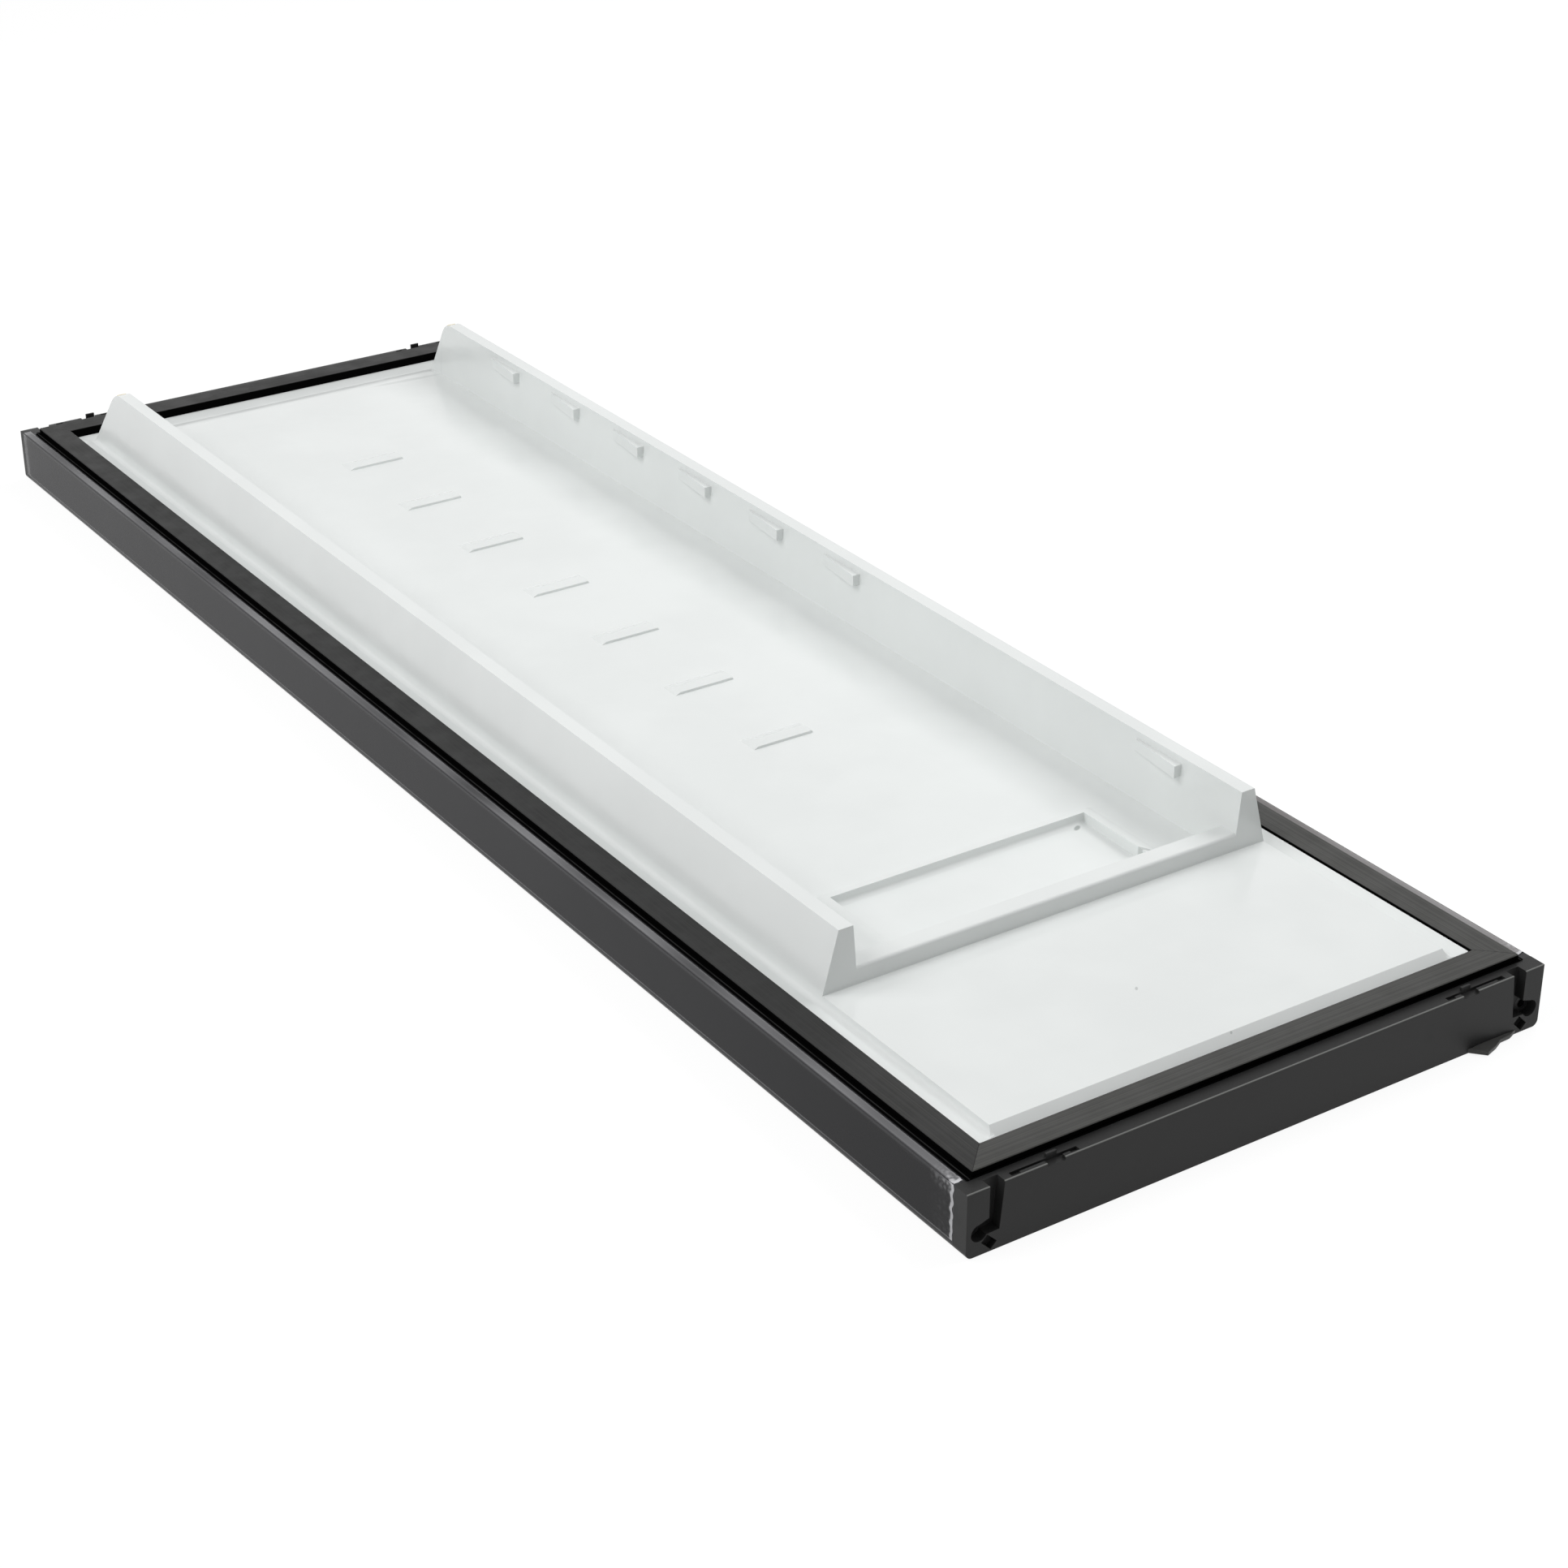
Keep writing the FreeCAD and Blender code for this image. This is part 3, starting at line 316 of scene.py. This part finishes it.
def steel_finish():
    # Coil-coated sheet steel: satin paint, with clouds 110 mm across and the 25 mm ripple of rolled sheet
    finish, tree, shader, place = new_finish("coated_steel_sheet", 0.34, 0.2)
    clouds = add_node(tree, "TexNoise", place, 9, 4, 0.55)
    haze = add_node(tree, "MapRange", clouds, 0.35, 0.7, 0.0, 1.0, **EASED)
    colour = add_node(tree, "Mix", haze, linear("#29292B"), linear("#2F2F31"), **COLOURS)
    ripple = add_node(tree, "TexNoise", place, 40, 2, 0.55)
    relief = add_node(tree, "Bump", 1.0, 0.00005, None, ripple)
    feed_shader(tree, shader, Base_Color=colour, Normal=relief)
    return finish


def film_finish():
    # Clear polyethylene film stuck to dark paint: it shows the paint a little greyer, whitens where it creases,
    # carries a painted sheen on the flange and up the left side, and ripples every 70 mm
    finish, tree, shader, place = new_finish("polyethylene_film", 0.26, 0.1)
    whiteness_and_sheen = add_node(tree, "Attribute", attribute_name="whiteness_and_sheen").node.outputs["Fac"]
    # pulled streaks 17 mm apart and 20 times as long
    stretched = add_node(tree, "Mapping", place, None, None, (60, 3, 60))
    streaks = add_node(tree, "TexNoise", stretched, 1.0, 2, 0.5)
    streaks = add_node(tree, "MapRange", streaks, 0.7, 0.85, 0.0, 0.12, **EASED)
    white = add_node(tree, "Math", whiteness_and_sheen, streaks, operation="MAXIMUM")
    # the tone through the film is darkest at the left film's lower end and brightens upwards, a painted sheen, and is
    # palest through the right film
    x, y, _ = add_node(tree, "SeparateXYZ", place).node.outputs
    painted_sheen_upwards = add_node(tree, "MapRange", y, -0.92, -0.2, 0.0, 1.0, **EASED)
    on_right = add_node(tree, "MapRange", x, -0.1, 0.1, 0.0, 1.0, **EASED)
    paint = add_node(tree, "Mix", painted_sheen_upwards, linear("#1C1C1E"), linear("#28282A"), **COLOURS)
    paint = add_node(tree, "Mix", on_right, paint, linear("#66615F"), **COLOURS)
    colour = add_node(tree, "Mix", white, paint, linear("#D2D2D5"), **COLOURS)
    crumples = add_node(tree, "Math", whiteness_and_sheen, 3.0, operation="MULTIPLY")
    ripple = add_node(tree, "TexNoise", place, 14, 1, 0.55)
    height = add_node(tree, "Math", crumples, ripple, operation="ADD")
    relief = add_node(tree, "Bump", 1.0, 0.0002, None, height)
    feed_shader(tree, shader, Base_Color=colour, Normal=relief)
    return finish


def plain_finish(name, low, high, rough, scale, metallic=0.0):
    """An inner piece's finish: two close tones in patches, scale of them to a metre, and a grain a twelfth as big."""
    finish, tree, shader, place = new_finish(name, rough, 0.4, metallic)
    clouds = add_node(tree, "TexNoise", place, scale, 4, 0.55)
    patches = add_node(tree, "MapRange", clouds, 0.35, 0.7, 0.0, 1.0, **EASED)
    colour = add_node(tree, "Mix", patches, linear(low), linear(high), **COLOURS)
    grain = add_node(tree, "TexNoise", place, scale * 12, 2, 0.55)
    relief = add_node(tree, "Bump", 1.0, 0.0001, None, grain)
    feed_shader(tree, shader, Base_Color=colour, Normal=relief)
    return finish


LINER = liner_finish()
GASKET = gasket_finish()
GASKET_PAINTED_SHADE = gasket_wall_finish()
CAP = moulded_finish("moulded_abs", "#262626", "#303131", 0.42)
STOP = moulded_finish("moulded_polyamide", "#4A4A49", "#5A5A59", 0.4)
PANEL = steel_finish()
FILM = film_finish()
# bush, plate, foam and magnet are out of sight, finished plainly
BUSH = plain_finish("turned_black_acetal", "#242424", "#2E2E2E", 0.35, 60)
PLATE = plain_finish("zinc_plated_steel", "#A2A5A8", "#B4B7BA", 0.3, 80, metallic=1.0)
FOAM = plain_finish("polyurethane_foam", "#D6C79A", "#E1D4AC", 0.85, 120)
MAGNET = plain_finish("bonded_ferrite", "#2B211C", "#352A24", 0.6, 90)

for node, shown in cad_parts.items():
    for start, finish in (("outer_panel", PANEL), ("hinge_bush", BUSH), ("hinge_plate", PLATE), ("magnet", MAGNET)):
        if node.startswith(start):
            shown.data.materials.clear()
            shown.data.materials.append(finish)


# Mouldings with their edges rounded

def ease_lugs_behind(piece):
    """The foam side of the wedges and of the left rib's lugs, kept below the sheet."""
    wedge_back, lug_back_x, lug_back_z = 0.0645, -0.1995, 0.1155
    shift_points(piece, lambda p: abs(p.x) < WEDGE_REACH and abs(p.z - wedge_back) < 2e-4, z=-0.0068)
    shift_points(piece, lambda p: abs(p.x - lug_back_x) < 8e-4 and abs(p.z - lug_back_z) < 2e-4, x=-0.0032)


def shape_liner(sheet):
    """What the formed sheet shows beyond the solid: soft lugs, a soft recess, and a border at the gasket."""
    border_foot, gully = 0.0562, 0.0610
    border_side, rib_side, short_run = 0.2498, 0.2430, 0.2350
    wedge_crest, first_wedge, wedge_pitch = 0.0665, -0.0945, 0.139
    lug_tip_x, lug_tip_z = -0.1975, 0.1175
    tray_edge, tray_floor, recess_rim = 0.2390, 0.0590, 0.0630

    def on_crest(p):
        return abs(p.x) < WEDGE_REACH and abs(p.z - wedge_crest) < 1e-4

    def at_near_side(p):
        return (p.y - first_wedge) % wedge_pitch < 0.004

    def in_recess_cove(p):
        return -0.1365 < p.x < 0.1425 and -0.5155 < p.y < -0.508 and p.z < 0.0530

    def at_rib_foot(p):
        return abs(abs(p.x) - tray_edge) < 4e-4 and abs(p.z - tray_floor) < 3e-4

    for height in (border_foot, gully):
        cut_faces(sheet, (0, 0, height), (0, 0, 1))
    # the short runs at the ends keep their form
    for x in (-short_run, short_run):
        cut_faces(sheet, (x, 0, 0), (1, 0, 0))
    # the border stands as high as the gasket and falls to a gully at the foot of each rib
    for side in (-1, 1):
        shift_points(sheet, lambda p: side * p.x > border_side and abs(p.z - border_foot) < 1e-5,
                     x=side * 0.0043, z=0.0078)
        shift_points(sheet, lambda p: side * p.x > rib_side and abs(p.z - gully) < 1e-5,
                     x=side * -0.0048, z=-0.0020)
    # wedges on the tray floor, a gentle hump each
    shift_points(sheet, lambda p: on_crest(p) and not at_near_side(p), y=0.006)
    shift_points(sheet, lambda p: on_crest(p) and at_near_side(p), y=0.009)
    shift_points(sheet, on_crest, z=-0.003)
    # upper corners of the left rib's lugs, which the rib's edge hides
    shift_points(sheet, lambda p: abs(p.x - lug_tip_x) < 5e-4 and abs(p.z - lug_tip_z) < 1e-4, x=-0.0032)
    ease_lugs_behind(sheet)
    # recess floor, less deep at its far wall
    for vertex in sheet.data.vertices:
        if in_recess_cove(vertex.co):
            vertex.co.z = recess_rim - 0.6 * (recess_rim - vertex.co.z)
    # rib feet, drawn from the sheet with a wide radius
    round_chosen_edges(sheet, 0.005, at_rib_foot)


def raise_clips(cap):
    """The two pairs of clips that stand up from the top cap."""
    clip_foot = 0.0615
    shift_points(cap, lambda p: p.z > clip_foot, z=0.003)


def widen_lip(frame_seal):
    """The lip that lies on each side flange, as wide as the real one."""
    lip_edge, lip_under, lip_top = 0.2837, 0.0590, 0.0606
    for side in (-1, 1):
        shift_points(frame_seal, lambda p: abs(side * p.x - lip_edge) < 2e-4 and lip_under < p.z < lip_top,
                     x=side * 0.0046)


for node, name, slot, finish, moulding in (
        ("inner_liner", "liner_sheet", "liner_plastic", LINER, (0.0016, 3, 20, shape_liner)),
        ("foam_core", "foam_filling", "foam", FOAM, (0.0002, 1, 60, ease_lugs_behind)),
        ("gasket", "gasket_frame", "gasket_rubber", GASKET, (0.0005, 2, 30, widen_lip)),
        ("bottom_end_cap", "bottom_cap_moulding", "cap_plastic", CAP, (0.0006, 2, 30)),
        ("top_end_cap", "top_cap_moulding", "cap_plastic", CAP, (0.0006, 2, 30, raise_clips)),
        ("door_stop", "stop_tongue", "stop_plastic", STOP, (0.0005, 2, 30))):
    seat(softened_moulding(node, name, *moulding), finish, node)

# below the gasket's top face, its channels take the near-black finish of painted shade
TOP_FACE_FOOT = 0.0655
gasket_frame = bpy.data.objects["gasket_frame"]
gasket_frame.data.materials.append(GASKET_PAINTED_SHADE)
for face in gasket_frame.data.polygons:
    if face.center.z < TOP_FACE_FOOT:
        face.material_index = 1


# Protective film: a thin sheet wrapped round each long side, creased where it was pulled

def fade(distance, reach):
    """1 at a place, falling to 0 at the end of its reach."""
    return max(0, 1 - distance / reach)


def wrapped_film(name, side, start, end, node):
    """One sheet from low on the door's side up onto the flange, crumpled at its lower end."""
    low_edge, onto_flange = 0.008, 0.009
    rise = FLANGE_TOP - low_edge
    crumpled, crumpled_rows = 0.04, 0.33
    let_go()
    bpy.ops.mesh.primitive_grid_add(x_subdivisions=44, y_subdivisions=300, size=2)
    film = bpy.context.object
    film.name = name
    film_white_and_sheen = film.data.attributes.new("whiteness_and_sheen", "FLOAT", "POINT")
    for vertex in film.data.vertices:
        up = (vertex.co.x + 1) / 2 * (rise + onto_flange)
        row = (vertex.co.y + 1) / 2
        # a third of the rows stand in the crumpled end
        if row < crumpled_rows:
            y = start + row / crumpled_rows * crumpled
        else:
            y = start + crumpled + (row - crumpled_rows) / (1 - crumpled_rows) * (end - start - crumpled)
        from_start, from_end, from_fold = y - start, end - y, abs(up - rise)
        wave = noise.noise(Vector((up * 30, y * 9, side)))
        fine = abs(noise.noise(Vector((up * 260, y * 180, 3 + side))))
        crumple = fade(from_start, 0.03) + 0.5 * fade(from_end, 0.012)
        lift = 0.00005 + 0.00002 * (1 + wave) + 0.00005 * min(1, crumple * fine)
        y += 0.0022 * noise.noise(Vector((up * 160, 7, side))) * fade(min(from_start, from_end), 0.02)
        if up < rise:
            vertex.co = (side * (HALF_WIDTH + lift), y, low_edge + up)
        else:
            vertex.co = (side * (HALF_WIDTH - (up - rise)), y, FLANGE_TOP + lift + 0.0012 * crumple * fine)
        # white at the fold, along both long edges and at the two ends, and in patches on the flange a painted sheen
        # that follows the film's waves
        borders = fade(rise + onto_flange - up, 0.0014) + fade(up, 0.0012)
        ragged = 0.0026 + 0.0016 * noise.noise(Vector((up * 230, 5, side)))
        ends = 1.2 * fade(max(0, from_start - ragged), 0.0012) + 0.3 * fade(from_end, 0.01)
        # painted sheen on the flange, following the film's waves
        flange_sheen = 0.22 * (0.9 + wave) if up > rise + 0.0012 else 0
        creased = (0.08 + 1.4 * fade(from_fold, 0.012)) * crumple * fine
        film_white_and_sheen.data[vertex.index].value = min(1, 0.12 * fade(from_fold, 0.0035) + flange_sheen + 0.3 * borders
                                                 + 0.6 * ends + creased)
    thickness = film.modifiers.new("thickness", "SOLIDIFY")
    thickness.thickness = 0.00004
    apply_all(film)
    bpy.ops.object.shade_smooth()
    seat(film, FILM, node)


wrapped_film("left_film", -1, -HALF_LENGTH + 0.0175, HALF_LENGTH - 0.009, "protective_film_left")
wrapped_film("right_film", 1, -HALF_LENGTH + 0.023, HALF_LENGTH - 0.009, "protective_film_right")


# Floor, light and camera

def shown_or_lighting(tree, shown, lighting):
    """One value for the camera and for reflections, and another for the light that reaches the door."""
    path = add_node(tree, "LightPath").node.outputs
    mirrored = add_node(tree, "Math", path["Is Glossy Ray"], path["Is Transmission Ray"], operation="MAXIMUM")
    seen = add_node(tree, "Math", path["Is Camera Ray"], mirrored, operation="MAXIMUM")
    return add_node(tree, "MapRange", seen, None, None, lighting, shown)


def studio_floor():
    """White to the camera save for a faint shadow, and matt white card to the light."""
    material = bpy.data.materials.new("studio_floor")
    material.use_nodes = True
    tree = material.node_tree
    tree.nodes.clear()
    glow = add_node(tree, "Emission", (1, 1, 1, 1), 1.12)
    paint = add_node(tree, "BsdfDiffuse", linear("#E6E6E6"))
    mixed = add_node(tree, "MixShader", shown_or_lighting(tree, 0.8, 0.0), paint, glow)
    add_node(tree, "OutputMaterial", mixed)
    return material


let_go()
bpy.ops.mesh.primitive_plane_add(size=24, location=(0, 0, -0.0005))
floor = bpy.context.object
floor.name = "floor"
floor.data.materials.append(studio_floor())

world = bpy.data.worlds.new("studio")
bpy.context.scene.world = world
world.use_nodes = True
sky = world.node_tree
sky.nodes.clear()
backdrop = add_node(sky, "Background", (1, 1, 1, 1), shown_or_lighting(sky, 1.0, 0.22))
add_node(sky, "OutputWorld", backdrop)


def soft_box(name, azimuth, elevation, distance, size, radiance):
    """A lamp of a given brightness aimed at the door from a compass direction (0 is +Y, 90 is +X)."""
    a, e = math.radians(azimuth), math.radians(elevation)
    direction = Vector((math.sin(a) * math.cos(e), math.cos(a) * math.cos(e), math.sin(e)))
    lamp = bpy.data.lights.new(name, "AREA")
    lamp.shape = "RECTANGLE"
    lamp.size, lamp.size_y = size
    lamp.energy = radiance * math.pi * size[0] * size[1]
    holder = bpy.data.objects.new(name, lamp)
    holder.location = direction * distance
    holder.rotation_euler = direction.to_track_quat("Z", "Y").to_euler()
    bpy.context.scene.collection.objects.link(holder)
    return holder


# the lamps stand so that the floor, the ribs and the panel's side have the tones that the photograph shows
soft_box("overhead", 0, 88, 3.6, (3.4, 4.4), 0.3)
soft_box("left_high", -84, 50, 4.5, (4.0, 2.4), 2.9)
soft_box("left_low", -84, 24, 4.5, (4.0, 2.4), 0.85)
right_high = soft_box("right_high", 96, 50, 4.5, (4.0, 2.4), 3.5)
# its mirror image would stand in the wedges
right_high.visible_glossy = False

# the photograph's viewpoint, fitted to the door's straight edges
camera_data = bpy.data.cameras.new("camera")
camera_data.lens = 72.8355
camera_data.sensor_width = 36
camera_data.clip_end = 60
camera = bpy.data.objects.new("camera", camera_data)
camera.location = (-1.4838, -2.4560, 1.4190)
camera.rotation_euler = (math.radians(62.25), 0, math.radians(-33.73))
bpy.context.scene.collection.objects.link(camera)
bpy.context.scene.camera = camera
bpy.context.scene.view_settings.view_transform = "Standard"
